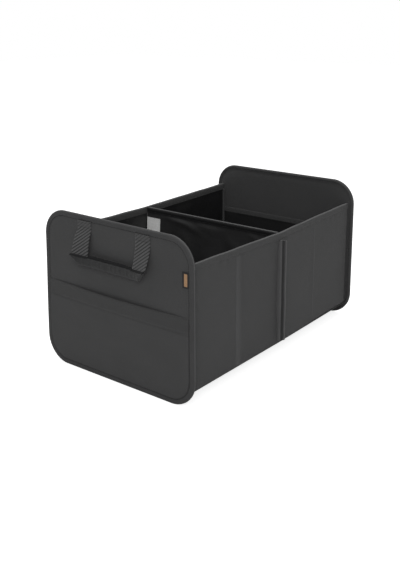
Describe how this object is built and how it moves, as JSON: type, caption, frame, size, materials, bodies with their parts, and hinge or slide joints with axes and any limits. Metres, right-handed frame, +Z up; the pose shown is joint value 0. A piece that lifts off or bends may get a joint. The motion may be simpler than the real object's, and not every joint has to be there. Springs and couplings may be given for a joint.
{
  "type": "car trunk organizer",
  "caption": "Foldable fabric box for a car trunk, with stiff rounded end panels, creased side walls, a divider, lift-up floor boards, a pocket and webbing carry handles.",
  "frame": {"origin": "on the ground below the middle of the box", "axes": "+X along the length from the near end panel with the pocket to the far end panel, +Y across, +Z up"},
  "size_m": [0.5224, 0.325, 0.268],
  "materials": {
    "cover_fabric": "matte dark grey woven polyester, coated",
    "binding_tape": "dark grey woven tape, slight sheen",
    "lining_fabric": "near black coated lining, soft gloss",
    "webbing": "dark grey ribbed webbing",
    "grip_fabric": "matte dark grey woven polyester",
    "label_satin": "white satin",
    "tag_fabric": "orange brown woven tag with a dark edge",
    "stiffener_board": "plain board, not seen"
  },
  "bodies": {
    "box": {"near_panel_binding": "binding_tape", "near_panel_cover": "cover_fabric", "near_panel_board": "stiffener_board", "near_panel_lining": "lining_fabric", "near_panel_facing": "cover_fabric", "near_handle_left_sewn_end": "webbing", "near_handle_right_sewn_end": "webbing", "far_panel_binding": "binding_tape", "far_panel_cover": "cover_fabric", "far_panel_board": "stiffener_board", "far_panel_lining": "lining_fabric", "far_panel_facing": "cover_fabric", "far_handle_left_sewn_end": "webbing", "far_handle_right_sewn_end": "webbing", "front_near_wall_cover": "cover_fabric", "front_near_wall_lining": "lining_fabric", "front_near_wall_inner_board": "stiffener_board", "front_near_wall_outer_board": "stiffener_board", "front_far_wall_cover": "cover_fabric", "front_far_wall_lining": "lining_fabric", "front_far_wall_inner_board": "stiffener_board", "front_far_wall_outer_board": "stiffener_board", "back_near_wall_cover": "cover_fabric", "back_near_wall_lining": "lining_fabric", "back_near_wall_inner_board": "stiffener_board", "back_near_wall_outer_board": "stiffener_board", "back_far_wall_cover": "cover_fabric", "back_far_wall_lining": "lining_fabric", "back_far_wall_inner_board": "stiffener_board", "back_far_wall_outer_board": "stiffener_board", "front_wall_top_hem": "cover_fabric", "front_divider_seam": "binding_tape", "back_wall_top_hem": "cover_fabric", "back_divider_seam": "binding_tape", "divider_near_lining": "lining_fabric", "divider_far_lining": "lining_fabric", "divider_board": "stiffener_board", "divider_top_binding": "binding_tape", "base_sheet": "cover_fabric", "front_pocket": "cover_fabric", "side_tag": "tag_fabric", "care_label": "label_satin"},
    "near_handle": {"near_handle_webbing": "webbing", "near_handle_grip": "grip_fabric"},
    "far_handle": {"far_handle_webbing": "webbing", "far_handle_grip": "grip_fabric"},
    "near_floor": {"near_floor_sleeve": "lining_fabric", "near_floor_board": "stiffener_board"},
    "far_floor": {"far_floor_sleeve": "lining_fabric", "far_floor_board": "stiffener_board"}
  },
  "joints": [
    {"name": "near_handle_swing", "type": "hinge", "parent": "box", "child": "near_handle", "pos_m": [-0.2474, 0, 0.248], "axis": [0, 1, 0], "range_deg": [0, 165]},
    {"name": "far_handle_swing", "type": "hinge", "parent": "box", "child": "far_handle", "pos_m": [0.2474, 0, 0.248], "axis": [0, -1, 0], "range_deg": [0, 165]},
    {"name": "near_floor_lift", "type": "hinge", "parent": "box", "child": "near_floor", "pos_m": [-0.2386, 0, 0.0303], "axis": [0, -1, 0], "range_deg": [0, 88]},
    {"name": "far_floor_lift", "type": "hinge", "parent": "box", "child": "far_floor", "pos_m": [0.2386, 0, 0.0303], "axis": [0, 1, 0], "range_deg": [0, 88]}
  ]
}
